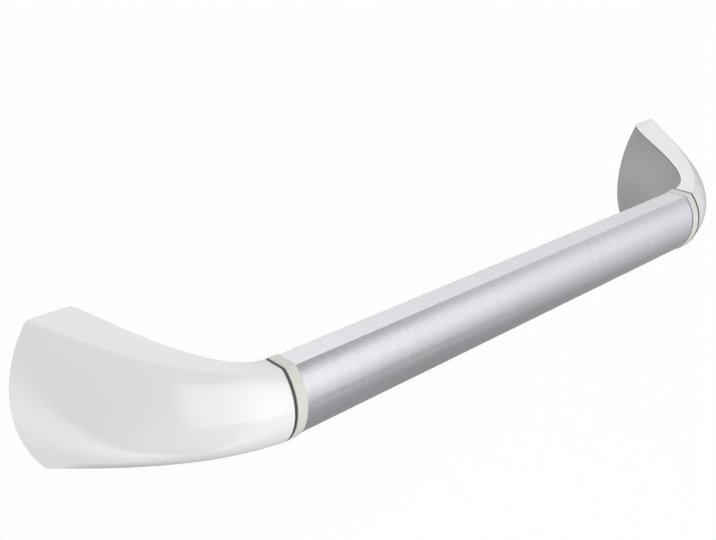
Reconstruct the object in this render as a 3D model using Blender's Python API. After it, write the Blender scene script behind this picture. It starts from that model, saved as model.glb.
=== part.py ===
"""Wall grab rail: a hollow barrel-section rail carried between two curved end brackets.

X runs along the rail, Z is up, and the wall is the plane y = 0 with the rail on its -Y side. The
origin is the middle of the left foot, on the wall. Both ends hold the same pieces: the right end is
the left one turned half a turn about the wall's normal, so each mesh is made once and used twice.
"""

import math

import bmesh
import bpy
from mathutils import Matrix, Vector

MM = 0.001

# Rail section: arched front and back, each bulging beyond the corners of a flat top and bottom
FIXING_SPACING = 450.0 * MM
RAIL_AXIS_DEPTH = 70.0 * MM
RAIL_HALF_HEIGHT = 17.5 * MM
RAIL_FLAT_HALF = 5.65 * MM
RAIL_BULGE = 7.7 * MM
RAIL_WALL = 2.2 * MM
RAIL_CORNER = 0.6 * MM

# Foot of the bracket, measured from the middle of its face on the wall
FOOT_HALF_HEIGHT = 37.0 * MM
FOOT_OUTER_CORNER = 13.1 * MM
FOOT_INNER_CORNER = 7.1 * MM
FOOT_OUTER_REACH = 25.0 * MM
FOOT_INNER_REACH = 22.3 * MM
FOOT_CORNER_RADIUS = 3.0 * MM

# Sweep of the bracket from the foot to its mouth, as handles of the two upper crease curves
MOUTH_OFFSET = 60.4 * MM
MOUTH_CORNER_RADIUS = 1.8 * MM
OUTER_FOOT_HANDLE = Vector((33.9, -60.0, -15.4)) * MM
OUTER_MOUTH_HANDLE = Vector((-20.6, 6.5, 1.5)) * MM
INNER_FOOT_HANDLE = Vector((7.4, -3.0, -4.1)) * MM
INNER_MOUTH_HANDLE = Vector((-29.7, -4.0, 3.5)) * MM
FRONT_BULGE_NEAR_FOOT = 20.0 * MM
FRONT_BULGE_NEAR_MOUTH = 8.7 * MM

# Bracket shell
SHELL_WALL = 3.5 * MM
SPIGOT_POCKET_DEPTH = 11.0 * MM
SPIGOT_NECK_INSET = 5.0 * MM
BULKHEAD_THICKNESS = 4.0 * MM
BOSS_RADIUS = 5.0 * MM

# Screw cover and the seat that it presses into
COVER_THICKNESS = 2.2 * MM
SEAM_INSET = 1.5 * MM
NOSE_CORNER = 3.0 * MM
NOSE_CLEARANCE = 1.0 * MM
TONGUE_START = 12.0 * MM
TONGUE_END = 30.0 * MM
TONGUE_THICKNESS = 1.8 * MM
TONGUE_DEPTH = 9.0 * MM

# Wall plate
PLATE_THICKNESS = 4.0 * MM
PLATE_CLEARANCE = 0.6 * MM
WALL_HOLE_RADIUS = 2.75 * MM
COUNTERSINK_RADIUS = 5.25 * MM
WALL_HOLE_HEIGHT = 24.0 * MM
WALL_HOLE_SHIFT = -3.0 * MM
SIDE_HOLE_SHIFT = 12.0 * MM
LUG_SHIFT = 2.0 * MM
LUG_THICKNESS = 4.0 * MM
LUG_HALF_WIDTH = 15.0 * MM
LUG_HEIGHT = 21.0 * MM
LUG_CORNER = 5.0 * MM
GUSSET_THICKNESS = 3.0 * MM
GUSSET_REACH = 6.0 * MM
PLATE_SCREW_HEIGHT = 13.5 * MM
PLATE_SCREW_HALF_SPACING = 9.0 * MM

# Seal ring and spigot between bracket and rail
RING_WIDTH = 7.0 * MM
RING_PROUD = 0.6 * MM
RING_GROOVE_WIDTH = 0.9 * MM
RING_GROOVE_DEPTH = 1.0 * MM
RING_EDGE = 0.4 * MM
CONNECTOR_REACH = 34.0 * MM
CONNECTOR_WALL = 5.0 * MM
CONNECTOR_END_WALL = 14.0 * MM
CONNECTOR_HOLE_DEPTH = 12.0 * MM
CONNECTOR_SCREW_HALF_SPACING = 7.5 * MM
CONNECTOR_SCREW_SHIFT = 3.5 * MM
SET_SCREW_SHIFT = 18.0 * MM
SET_SCREW_SUNK = 0.6 * MM

# Screws
SCREW_RADIUS = 2.5 * MM
PLATE_SCREW_LENGTH = 10.0 * MM
PLATE_SCREW_HEAD_RADIUS = 4.5 * MM
PLATE_SCREW_HEAD = 3.2 * MM
CONNECTOR_SCREW_LENGTH = 14.0 * MM
CONNECTOR_SCREW_HEAD_RADIUS = 4.25 * MM
CONNECTOR_SCREW_HEAD = 5.0 * MM
SET_SCREW_RADIUS = 3.0 * MM
SET_SCREW_LENGTH = 7.0 * MM
SCREW_TIP = 0.6 * MM
KEY_HALF_WIDTH = 2.0 * MM
SET_KEY_HALF_WIDTH = 1.5 * MM
KEY_DEPTH = 2.4 * MM

# Clearances
SEAT_GAP = 0.3 * MM
HOLE_GAP = 0.3 * MM
CUT_MARGIN = 3.0 * MM

# Fineness of the curved surfaces
SWEEP_STATIONS = 15
STATION_CROWDING = 1.25
SLANT_STATION = 13
FRONT_STEPS = 7
BACK_STEPS = 5
CORNER_STEPS = 2
ROUND_STEPS = 18
BISECTIONS = 40
MERGE_DISTANCE = 0.003 * MM
FLAT_ANGLE = math.radians(0.05)
SMOOTH_ANGLE = math.radians(32.0)

# Sizes that follow from the ones above
RAIL_HALF_DEPTH = RAIL_FLAT_HALF + RAIL_BULGE
RAIL_RADIUS = (RAIL_HALF_HEIGHT**2 + RAIL_BULGE**2) / (2 * RAIL_BULGE)
MOUTH_RADIUS = RAIL_RADIUS + RING_PROUD
MOUTH_HALF_HEIGHT = RAIL_HALF_HEIGHT + RING_PROUD
MOUTH_FLAT_HALF = RAIL_HALF_DEPTH - RAIL_RADIUS + math.sqrt(MOUTH_RADIUS**2 - MOUTH_HALF_HEIGHT**2)
MOUTH_BULGE = RAIL_HALF_DEPTH + RING_PROUD - MOUTH_FLAT_HALF
RING_START = MOUTH_OFFSET + SEAT_GAP
RING_END = MOUTH_OFFSET + RING_WIDTH
RAIL_START = RING_END + SEAT_GAP
POCKET_START = MOUTH_OFFSET - SPIGOT_POCKET_DEPTH
CAVITY_END = POCKET_START - BULKHEAD_THICKNESS
NOSE_RADIUS = MOUTH_RADIUS + NOSE_CLEARANCE
NOSE_CENTRE = -RAIL_AXIS_DEPTH + RAIL_HALF_DEPTH - RAIL_RADIUS
CONNECTOR_INSET = RAIL_WALL + SEAT_GAP
CONNECTOR_START = POCKET_START + SEAT_GAP
CONNECTOR_END = RAIL_START + CONNECTOR_REACH


def bezier(points, t):
    """Point at t on the cubic Bezier curve with these four control points."""
    start, start_handle, end_handle, end = points
    s = 1.0 - t
    return start * s**3 + start_handle * 3 * s * s * t + end_handle * 3 * s * t * t + end * t**3


def spread(start, end, steps):
    """Evenly spaced values from start to end, both included."""
    return [start + (end - start) * i / steps for i in range(steps + 1)]


def crease_curve(foot_corner, mouth_corner, foot_handle, mouth_handle):
    """Control points of an upper crease, from the foot's corner to the mouth's."""
    start = Vector((foot_corner, 0.0, FOOT_HALF_HEIGHT))
    end = Vector((MOUTH_OFFSET, mouth_corner, MOUTH_HALF_HEIGHT))
    return start, start + foot_handle, end + mouth_handle, end


OUTER_CREASE = crease_curve(
    -FOOT_OUTER_CORNER, -RAIL_AXIS_DEPTH - MOUTH_FLAT_HALF, OUTER_FOOT_HANDLE, OUTER_MOUTH_HANDLE
)
INNER_CREASE = crease_curve(
    FOOT_INNER_CORNER, -RAIL_AXIS_DEPTH + MOUTH_FLAT_HALF, INNER_FOOT_HANDLE, INNER_MOUTH_HANDLE
)


def arc_radius(half_chord, bulge):
    """Radius of the arc that rises by bulge over a chord of twice half_chord."""
    return (half_chord**2 + bulge**2) / (2.0 * bulge)


def rounded_corner(before, corner, after):
    """Points that round a corner between a point before it and one after it, both left out."""
    points = []
    for t in spread(0.0, 1.0, CORNER_STEPS + 1)[1:-1]:
        first = before.lerp(corner, t)
        second = corner.lerp(after, t)
        points.append(first.lerp(second, t))
    return points


def barrel_half(width, heights, bulges, inset, corner, back_shift=0.0):
    """Upper half of a barrel section as (u, v) points, from the front's middle to the back's.

    u runs from the back corner to the front corner, which lie width apart, and v is the height.
    heights and bulges are (front, back) pairs. The whole outline is offset inwards by inset, and
    back_shift moves the back arc alone towards the front.
    """
    slope = (heights[0] - heights[1]) / width
    lean = math.atan(slope)
    top = heights[1] - inset / math.cos(lean)
    front_radius = arc_radius(heights[0], bulges[0]) - inset
    back_radius = arc_radius(heights[1], bulges[1]) - inset
    front_centre = width + bulges[0] - inset - front_radius
    back_centre = back_radius - bulges[1] + inset + back_shift
    front_turn = math.asin((top + slope * front_centre) * math.cos(lean) / front_radius) + lean
    back_turn = math.asin((top + slope * back_centre) * math.cos(lean) / back_radius) - lean
    front_corner = Vector((front_radius * math.cos(front_turn), front_radius * math.sin(front_turn)))
    front_corner.x += front_centre
    back_corner = Vector((-back_radius * math.cos(back_turn), back_radius * math.sin(back_turn)))
    back_corner.x += back_centre
    setback = corner * math.tan((math.pi / 2 - front_turn) / 2)
    arc = [
        Vector((front_centre + front_radius * math.cos(a), front_radius * math.sin(a)))
        for a in spread(0.0, front_turn - setback / front_radius, FRONT_STEPS)
    ]
    flat_start = front_corner + (back_corner - front_corner).normalized() * setback
    back = [
        Vector((back_centre - back_radius * math.cos(a), back_radius * math.sin(a)))
        for a in spread(back_turn, 0.0, BACK_STEPS)
    ]
    return arc + rounded_corner(arc[-1], front_corner, flat_start) + [flat_start] + back


def whole_loop(half):
    """Closed loop from an upper half whose ends lie at z = 0."""
    return half + [Vector((p.x, p.y, -p.z)) for p in reversed(half[1:-1])]


def crease_point(crease, turn):
    """Where a crease passes through the section plane at this turn."""
    low, high = 0.0, 1.0
    for _ in range(BISECTIONS):
        middle = (low + high) / 2
        point = bezier(crease, middle)
        if -point.y * math.cos(turn) < (MOUTH_OFFSET - point.x) * math.sin(turn):
            low = middle
        else:
            high = middle
    return bezier(crease, (low + high) / 2)


class Section:
    """Barrel section of the bracket in an upright plane.

    The planes fan out from the line where the wall meets the plane of the mouth: turn is 0 in the
    wall and a quarter turn at the mouth. Places in the plane are (u, z), u running from the inner
    crease to the outer one.
    """

    def __init__(self, turn):
        share = turn / (math.pi / 2)
        inner = crease_point(INNER_CREASE, turn)
        outer = crease_point(OUTER_CREASE, turn)
        self.base = Vector((inner.x, inner.y, 0.0))
        self.across = Vector((-math.cos(turn), -math.sin(turn), 0.0))
        self.width = (outer - inner).dot(self.across)
        self.heights = (outer.z, inner.z)
        front_foot = FOOT_OUTER_REACH - FOOT_OUTER_CORNER
        back_foot = FOOT_INNER_REACH - FOOT_INNER_CORNER
        fronts = (front_foot, FRONT_BULGE_NEAR_FOOT, FRONT_BULGE_NEAR_MOUTH, MOUTH_BULGE)
        self.bulges = (bezier(fronts, share), back_foot + (MOUTH_BULGE - back_foot) * share)
        self.corner = FOOT_CORNER_RADIUS + (MOUTH_CORNER_RADIUS - FOOT_CORNER_RADIUS) * share

    def point(self, u, z):
        """Point in space for a place in the section."""
        return self.base + self.across * u + Vector((0.0, 0.0, z))

    def loop(self, inset, back_shift=0.0):
        """Outline offset inwards, with the back arc moved towards the front by back_shift."""
        corner = max(self.corner - inset, RAIL_CORNER)
        half = barrel_half(self.width, self.heights, self.bulges, inset, corner, back_shift)
        return whole_loop([self.point(p.x, p.y) for p in half])

    def back_face(self, z):
        """u of the back face at the height z."""
        radius = arc_radius(self.heights[1], self.bulges[1])
        return radius - self.bulges[1] - math.sqrt(radius**2 - z**2)

    def top_face(self, u, inset):
        """Height of the top face at u, lowered by inset."""
        slope = (self.heights[0] - self.heights[1]) / self.width
        return self.heights[1] + slope * u - inset / math.cos(math.atan(slope))

    def seam(self, inset):
        """Point of the back face at a distance of inset from the inner crease, along the face."""
        radius = arc_radius(self.heights[1], self.bulges[1])
        turn = math.asin(self.heights[1] / radius) - inset / radius
        z = radius * math.sin(turn)
        return self.point(self.back_face(z), z)


SECTIONS = [
    Section(math.pi / 2 * share**STATION_CROWDING) for share in spread(0.0, 1.0, SWEEP_STATIONS)
]


def rail_loop(x, inset, corner=None):
    """Section loop of the rail at x, offset inwards by inset."""
    half = barrel_half(
        2 * RAIL_FLAT_HALF,
        (RAIL_HALF_HEIGHT, RAIL_HALF_HEIGHT),
        (RAIL_BULGE, RAIL_BULGE),
        inset,
        max(RAIL_CORNER - inset, RAIL_CORNER / 2) if corner is None else corner,
    )
    back = -RAIL_AXIS_DEPTH + RAIL_FLAT_HALF
    return whole_loop([Vector((x, back - p.x, p.y)) for p in half])


def finished(bm, name):
    """Mesh made from a closed bmesh, its faces turned outwards."""
    bmesh.ops.recalc_face_normals(bm, faces=bm.faces)
    mesh = bpy.data.meshes.new(name)
    bm.to_mesh(mesh)
    bm.free()
    return mesh


def joined_rows(bm, loops):
    """Rows of vertices, one for each loop, with side faces between neighbours."""
    rows = [[bm.verts.new(point) for point in loop] for loop in loops]
    for row, after in zip(rows, rows[1:]):
        skin(bm, row, after)
    return rows


def skin(bm, row, after):
    """Band of triangles between two rows, the second half of the loop mirroring the first."""
    for i in range(len(row)):
        j = (i + 1) % len(row)
        if i < len(row) // 2:
            bm.faces.new((row[i], row[j], after[j]))
            bm.faces.new((row[i], after[j], after[i]))
        else:
            bm.faces.new((row[i], row[j], after[i]))
            bm.faces.new((row[j], after[j], after[i]))


def lofted(loops):
    """Solid through a row of loops, its two ends filled."""
    bm = bmesh.new()
    rows = joined_rows(bm, loops)
    bm.faces.new(rows[0])
    bm.faces.new(rows[-1])
    return finished(bm, "loft")


def hollow(loops):
    """Solid ring whose profile runs through all loops and back to the first."""
    bm = bmesh.new()
    rows = joined_rows(bm, loops)
    skin(bm, rows[-1], rows[0])
    return finished(bm, "ring")


def turned(profile):
    """Solid turned about X from (x, radius) points that start and end on the axis."""
    bm = bmesh.new()
    angles = [2 * math.pi * i / ROUND_STEPS for i in range(ROUND_STEPS)]
    loops = [
        [Vector((x, radius * math.cos(a), radius * math.sin(a))) for a in angles]
        for x, radius in profile[1:-1]
    ]
    rows = joined_rows(bm, loops)
    for (x, _), row in ((profile[0], rows[0]), (profile[-1], rows[-1])):
        tip = bm.verts.new((x, 0.0, 0.0))
        for i, vertex in enumerate(row):
            bm.faces.new((vertex, row[(i + 1) % len(row)], tip))
    return finished(bm, "turned")


def rod(radius, start, end):
    """Round bar along X."""
    return turned([(start, 0.0), (start, radius), (end, radius), (end, 0.0)])


def hexagon_bar(half_width, start, end):
    """Hexagonal bar along X, half_width from its axis to each flat."""
    corner = half_width / math.cos(math.pi / 6)
    loops = []
    for x in (start, end):
        turns = [math.pi / 3 * i for i in range(6)]
        loops.append([Vector((x, corner * math.cos(a), corner * math.sin(a))) for a in turns])
    return lofted(loops)


def prism(outline, near, far):
    """Solid from a (y, z) outline pushed along X from near(y) to far."""
    return lofted(
        [[Vector((near(y), y, z)) for y, z in outline], [Vector((far, y, z)) for y, z in outline]]
    )


def moved(mesh, x=0.0, y=0.0, z=0.0, turn=None):
    """The mesh itself after a turn about the origin and a shift."""
    if turn is not None:
        mesh.transform(turn)
    mesh.transform(Matrix.Translation((x, y, z)))
    return mesh


def combined(base, tools, operation):
    """New mesh: base with each tool united, subtracted or intersected in turn."""
    for tool in tools:
        body = bpy.data.objects.new("body", base)
        other = bpy.data.objects.new("tool", tool)
        for item in (body, other):
            bpy.context.scene.collection.objects.link(item)
        step = body.modifiers.new("combine", "BOOLEAN")
        step.operation = operation
        step.object = other
        evaluated = body.evaluated_get(bpy.context.evaluated_depsgraph_get())
        base = without_slivers(bpy.data.meshes.new_from_object(evaluated))
        for item in (body, other):
            bpy.data.objects.remove(item)
    return base


def without_slivers(mesh):
    """The mesh with points that all but coincide merged, as cuts can leave behind."""
    bm = bmesh.new()
    bm.from_mesh(mesh)
    bmesh.ops.remove_doubles(bm, verts=bm.verts, dist=MERGE_DISTANCE)
    bmesh.ops.dissolve_degenerate(bm, edges=bm.edges, dist=MERGE_DISTANCE)
    bmesh.ops.dissolve_limit(bm, angle_limit=FLAT_ANGLE, verts=bm.verts, edges=bm.edges)
    bm.to_mesh(mesh)
    bm.free()
    return mesh


def bracket_solid(inset, back_shift=0.0, overrun=0.0):
    """The bracket's swept form, offset inwards, with both ends run on by overrun."""
    loops = [section.loop(inset, back_shift) for section in SECTIONS]
    if overrun > 0.0:
        behind = [p + Vector((0.0, overrun, 0.0)) for p in loops[0]]
        beyond = [p + Vector((overrun, 0.0, 0.0)) for p in loops[-1]]
        loops = [behind] + loops + [beyond]
    return lofted(loops)


def cavity_solid():
    """Hollow of the bracket, open at the wall and at the back, up to the bulkhead."""
    mesh = bracket_solid(SHELL_WALL, -SHELL_WALL - CUT_MARGIN, 2 * CUT_MARGIN)
    bm = bmesh.new()
    bm.from_mesh(mesh)
    geometry = bm.verts[:] + bm.edges[:] + bm.faces[:]
    bmesh.ops.bisect_plane(
        bm, geom=geometry, plane_co=(CAVITY_END, 0.0, 0.0), plane_no=(1.0, 0.0, 0.0), clear_outer=True
    )
    rim = [edge for edge in bm.edges if edge.is_boundary]
    bmesh.ops.holes_fill(bm, edges=rim)
    return finished(bm, "cavity")


def middle_plane():
    """Function giving, at each y, the x of a slanting plane half way through the bracket."""
    ends = (SECTIONS[0], SECTIONS[SLANT_STATION])
    first, last = (section.point(section.width / 2, 0.0) for section in ends)
    slope = (last.x - first.x) / (last.y - first.y)
    return lambda y: first.x + slope * (y - first.y)


def seam_outline(inset, nose_radius, wall_y):
    """Outline of the cover or its seat as seen along X: (y, z) points all round."""
    centre = Vector((NOSE_CENTRE, 0.0))
    low, high = math.pi / 4, math.pi / 2
    for _ in range(BISECTIONS):
        middle = (low + high) / 2
        point = Section(middle).seam(inset)
        if (Vector((point.y, point.z)) - centre).length > nose_radius:
            low = middle
        else:
            high = middle
    edge = []
    for turn in spread(0.0, low, SWEEP_STATIONS):
        point = Section(turn).seam(inset)
        edge.append(Vector((point.y, point.z)))
    corner = edge[-1]
    start = Vector((wall_y, edge[0].y))
    edge = [p for p in edge if (p - corner).length > NOSE_CORNER and p.x < wall_y - SEAT_GAP]
    turn = math.atan2(corner.y, corner.x - centre.x)
    turns = spread(turn - NOSE_CORNER / nose_radius, 0.0, BACK_STEPS)
    nose = [centre + Vector((math.cos(a), math.sin(a))) * nose_radius for a in turns]
    half = [start] + edge + rounded_corner(edge[-1], corner, nose[0]) + nose
    lower = [Vector((p.x, -p.y)) for p in reversed(half[:-1])]
    return [(p.x, p.y) for p in half + lower]


def rail_bar(start, end, inset):
    """Solid bar with the rail's section, offset inwards by inset."""
    return lofted([rail_loop(start, inset), rail_loop(end, inset)])


def bracket_mesh():
    """End bracket: swept shell with a rebate for the cover, bosses, bulkhead and pocket."""
    far = 2 * MOUTH_OFFSET
    lug_face = LUG_SHIFT - SEAT_GAP
    bosses = [
        moved(rod(BOSS_RADIUS, -MOUTH_OFFSET, lug_face), y=-PLATE_SCREW_HEIGHT, z=z)
        for z in (-PLATE_SCREW_HALF_SPACING, PLATE_SCREW_HALF_SPACING)
    ]
    cavity = combined(cavity_solid(), bosses, "DIFFERENCE")
    pocket = rail_bar(POCKET_START, MOUTH_OFFSET + CUT_MARGIN, SPIGOT_NECK_INSET)
    shell = combined(bracket_solid(0.0), [cavity, pocket], "DIFFERENCE")
    outline = seam_outline(SEAM_INSET - SEAT_GAP, NOSE_RADIUS - SEAT_GAP, CUT_MARGIN)
    seat = prism(outline, middle_plane(), far)
    floor = bracket_solid(0.0, back_shift=COVER_THICKNESS + SEAT_GAP, overrun=2 * CUT_MARGIN)
    seat = combined(seat, [floor], "DIFFERENCE")
    holes = []
    for z in (-PLATE_SCREW_HALF_SPACING, PLATE_SCREW_HALF_SPACING):
        depth = LUG_SHIFT + LUG_THICKNESS + SEAT_GAP - PLATE_SCREW_LENGTH - 2 * SEAT_GAP
        bore = rod(SCREW_RADIUS + HOLE_GAP, depth, lug_face + CUT_MARGIN)
        holes.append(moved(bore, y=-PLATE_SCREW_HEIGHT, z=z))
    for z in (-CONNECTOR_SCREW_HALF_SPACING, CONNECTOR_SCREW_HALF_SPACING):
        bore = rod(SCREW_RADIUS + HOLE_GAP, CAVITY_END - CUT_MARGIN, POCKET_START + CUT_MARGIN)
        holes.append(moved(bore, y=CONNECTOR_SCREW_SHIFT - RAIL_AXIS_DEPTH, z=z))
    return combined(shell, [seat] + holes, "DIFFERENCE")


def cover_mesh():
    """Screw cover: a layer of the bracket's back face with two tongues that grip the window."""
    far = 2 * MOUTH_OFFSET
    outline = seam_outline(SEAM_INSET, NOSE_RADIUS, -SEAT_GAP)
    layer = combined(bracket_solid(0.0), [prism(outline, middle_plane(), far)], "INTERSECT")
    floor = bracket_solid(0.0, back_shift=COVER_THICKNESS, overrun=2 * CUT_MARGIN)
    layer = combined(layer, [floor], "DIFFERENCE")
    return combined(layer, [tongue_solid(side) for side in (1.0, -1.0)], "UNION")


def tongue_solid(side):
    """Tongue that stands in from the cover along the bracket's upper or lower wall."""
    outer = SHELL_WALL + SEAT_GAP
    inner = outer + TONGUE_THICKNESS
    root = COVER_THICKNESS / 2
    loops = []
    for section in SECTIONS:
        if not TONGUE_START < -section.base.y < TONGUE_END:
            continue
        outer_edge = section.back_face(section.top_face(0.0, outer))
        inner_edge = section.back_face(section.top_face(0.0, inner))
        deep = inner_edge + TONGUE_DEPTH
        corners = ((outer_edge + root, outer), (deep, outer), (deep, inner), (inner_edge + root, inner))
        loops.append([section.point(u, side * section.top_face(u, inset)) for u, inset in corners])
    return lofted(loops)


def box(x_range, y_range, z_range):
    """Rectangular block."""
    outline = [(y, z) for y, z in zip(y_range + y_range[::-1], (z_range[0],) * 2 + (z_range[1],) * 2)]
    return prism(outline, lambda y: x_range[0], x_range[1])


def plate_mesh():
    """Wall plate: a flat base with countersunk holes and an upright lug between two gussets."""
    wide = (-2 * MOUTH_OFFSET, 2 * MOUTH_OFFSET)
    slab = box(wide, (-PLATE_THICKNESS, 0.0), wide)
    base = combined(bracket_solid(SHELL_WALL + PLATE_CLEARANCE, overrun=CUT_MARGIN), [slab], "INTERSECT")
    plate = combined(base, [lug_solid()] + [gusset_solid(side) for side in (1.0, -1.0)], "UNION")
    holes = [wall_hole(WALL_HOLE_SHIFT, z) for z in (-WALL_HOLE_HEIGHT, WALL_HOLE_HEIGHT)]
    holes.append(wall_hole(SIDE_HOLE_SHIFT, 0.0))
    for z in (-PLATE_SCREW_HALF_SPACING, PLATE_SCREW_HALF_SPACING):
        bore = rod(SCREW_RADIUS + HOLE_GAP, LUG_SHIFT - CUT_MARGIN, LUG_SHIFT + LUG_THICKNESS + CUT_MARGIN)
        holes.append(moved(bore, y=-PLATE_SCREW_HEIGHT, z=z))
    return combined(plate, holes, "DIFFERENCE")


def lug_solid():
    """Upright lug with rounded free corners."""
    root = -PLATE_THICKNESS / 2
    corner = Vector((-LUG_HEIGHT, LUG_HALF_WIDTH))
    before = corner + Vector((LUG_CORNER, 0.0))
    after = corner - Vector((0.0, LUG_CORNER))
    half = [Vector((root, LUG_HALF_WIDTH)), before] + rounded_corner(before, corner, after) + [after]
    outline = half + [Vector((p.x, -p.y)) for p in reversed(half)]
    return prism([(p.x, p.y) for p in outline], lambda y: LUG_SHIFT, LUG_SHIFT + LUG_THICKNESS)


def gusset_solid(side):
    """Triangular rib that stiffens one edge of the lug on the cover's side."""
    outer = side * LUG_HALF_WIDTH
    inner = side * (LUG_HALF_WIDTH - GUSSET_THICKNESS)
    foot = LUG_SHIFT + LUG_THICKNESS
    root = -PLATE_THICKNESS / 2
    loops = []
    for z in (outer, inner):
        loops.append(
            [
                Vector((foot - LUG_THICKNESS / 2, root, z)),
                Vector((foot + GUSSET_REACH, root, z)),
                Vector((foot + GUSSET_REACH, -PLATE_THICKNESS - LUG_THICKNESS / 2, z)),
                Vector((foot, -PLATE_THICKNESS - GUSSET_REACH, z)),
                Vector((foot - LUG_THICKNESS / 2, -PLATE_THICKNESS - GUSSET_REACH, z)),
            ]
        )
    return lofted(loops)


def wall_hole(x, z):
    """Countersunk hole through the wall plate."""
    face = PLATE_THICKNESS
    slope = COUNTERSINK_RADIUS - WALL_HOLE_RADIUS
    profile = [
        (-CUT_MARGIN, 0.0),
        (-CUT_MARGIN, WALL_HOLE_RADIUS),
        (face - slope, WALL_HOLE_RADIUS),
        (face, COUNTERSINK_RADIUS),
        (face + SEAT_GAP, COUNTERSINK_RADIUS),
        (face + SEAT_GAP, 0.0),
    ]
    return moved(turned(profile), x=x, z=z, turn=Matrix.Rotation(-math.pi / 2, 4, "Z"))


def connector_mesh():
    """Spigot: a neck in the bracket's pocket and a body in the rail's end, hollow towards it."""
    steps = (
        (CONNECTOR_START, SPIGOT_NECK_INSET + SEAT_GAP),
        (RING_START, SPIGOT_NECK_INSET + SEAT_GAP),
        (RING_START, CONNECTOR_INSET),
        (CONNECTOR_END, CONNECTOR_INSET),
    )
    body = lofted([rail_loop(x, inset) for x, inset in steps])
    hollow_start = CONNECTOR_START + CONNECTOR_END_WALL
    cuts = [rail_bar(hollow_start, CONNECTOR_END + CUT_MARGIN, CONNECTOR_INSET + CONNECTOR_WALL)]
    hole_end = CONNECTOR_START + CONNECTOR_HOLE_DEPTH
    for z in (-CONNECTOR_SCREW_HALF_SPACING, CONNECTOR_SCREW_HALF_SPACING):
        bore = rod(SCREW_RADIUS + HOLE_GAP, CONNECTOR_START - CUT_MARGIN, hole_end)
        cuts.append(moved(bore, y=CONNECTOR_SCREW_SHIFT - RAIL_AXIS_DEPTH, z=z))
    cuts.append(set_screw_bore())
    return combined(body, cuts, "DIFFERENCE")


def set_screw_bore():
    """Hole for the set screw, from behind the rail to its axis."""
    bore = rod(SET_SCREW_RADIUS + HOLE_GAP, -RAIL_HALF_DEPTH - CUT_MARGIN, 0.0)
    turn = Matrix.Rotation(-math.pi / 2, 4, "Z")
    return moved(bore, x=RAIL_START + SET_SCREW_SHIFT, y=-RAIL_AXIS_DEPTH, turn=turn)


def ring_mesh():
    """Seal ring: a groove against the bracket, then a band that stands proud of the rail."""
    proud = -RING_PROUD
    groove_end = RING_START + RING_GROOVE_WIDTH
    profile = [
        (RING_START, RAIL_WALL),
        (RING_START, RING_GROOVE_DEPTH),
        (groove_end, RING_GROOVE_DEPTH),
        (groove_end, proud + RING_EDGE),
        (groove_end + RING_EDGE, proud),
        (RING_END - RING_EDGE, proud),
        (RING_END, proud + RING_EDGE),
        (RING_END, RAIL_WALL),
    ]
    return hollow([rail_loop(x, inset, ring_corner(inset)) for x, inset in profile])


def ring_corner(inset):
    """Corner radius of the ring's section at an inset, the band's being that of the mouth."""
    return max(MOUTH_CORNER_RADIUS - RING_PROUD - inset, RAIL_CORNER / 2)


def rail_mesh():
    """Hollow rail with a hole for a set screw behind each end."""
    end = FIXING_SPACING - RAIL_START
    rims = ((RAIL_START, 0.0), (end, 0.0), (end, RAIL_WALL), (RAIL_START, RAIL_WALL))
    tube = hollow([rail_loop(x, inset) for x, inset in rims])
    left = set_screw_bore()
    right = moved(set_screw_bore(), x=FIXING_SPACING - 2 * (RAIL_START + SET_SCREW_SHIFT))
    return combined(tube, [left, right], "DIFFERENCE")


def headed_screw_mesh(head_radius, head_height, length):
    """Socket screw along X: its head ends at x = 0 and its shank runs to +X."""
    profile = [
        (-head_height, 0.0),
        (-head_height, head_radius - SCREW_TIP),
        (SCREW_TIP - head_height, head_radius),
        (0.0, head_radius),
        (0.0, SCREW_RADIUS),
        (length - SCREW_TIP, SCREW_RADIUS),
        (length, SCREW_RADIUS - SCREW_TIP),
        (length, 0.0),
    ]
    socket = hexagon_bar(KEY_HALF_WIDTH, -head_height - CUT_MARGIN, KEY_DEPTH - head_height)
    return combined(turned(profile), [socket], "DIFFERENCE")


def set_screw_mesh():
    """Headless socket screw along X, its key end at x = 0."""
    profile = [
        (0.0, 0.0),
        (0.0, SET_SCREW_RADIUS - SCREW_TIP),
        (SCREW_TIP, SET_SCREW_RADIUS),
        (SET_SCREW_LENGTH - SCREW_TIP, SET_SCREW_RADIUS),
        (SET_SCREW_LENGTH, SET_SCREW_RADIUS - SCREW_TIP),
        (SET_SCREW_LENGTH, 0.0),
    ]
    socket = hexagon_bar(SET_KEY_HALF_WIDTH, -CUT_MARGIN, KEY_DEPTH)
    return combined(turned(profile), [socket], "DIFFERENCE")


def material(name, colour, metallic, roughness):
    """Principled material with a colour, a metallic value and a roughness."""
    made = bpy.data.materials.new(name)
    made.use_nodes = True
    shader = made.node_tree.nodes["Principled BSDF"]
    shader.inputs["Base Color"].default_value = (*colour, 1.0)
    shader.inputs["Metallic"].default_value = metallic
    shader.inputs["Roughness"].default_value = roughness
    made.diffuse_color = (*colour, 1.0)
    return made


def placed(name, mesh, look, parent=None, location=(0.0, 0.0, 0.0), turn=0.0):
    """Object for one piece, shaded smooth up to its creases, under its end's empty."""
    mesh.shade_smooth()
    mesh.set_sharp_from_angle(angle=SMOOTH_ANGLE)
    if not mesh.materials:
        mesh.materials.append(look)
    piece = bpy.data.objects.new(name, mesh)
    piece.parent = parent
    piece.location = location
    piece.rotation_euler = (0.0, 0.0, turn)
    bpy.context.scene.collection.objects.link(piece)
    return piece


def end_empty(name, x, half_turn):
    """Empty at a foot's middle on the wall, which carries all pieces of that end."""
    empty = bpy.data.objects.new(name, None)
    empty.location = (x, 0.0, 0.0)
    empty.rotation_euler = (0.0, half_turn, 0.0)
    bpy.context.scene.collection.objects.link(empty)
    return empty


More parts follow.
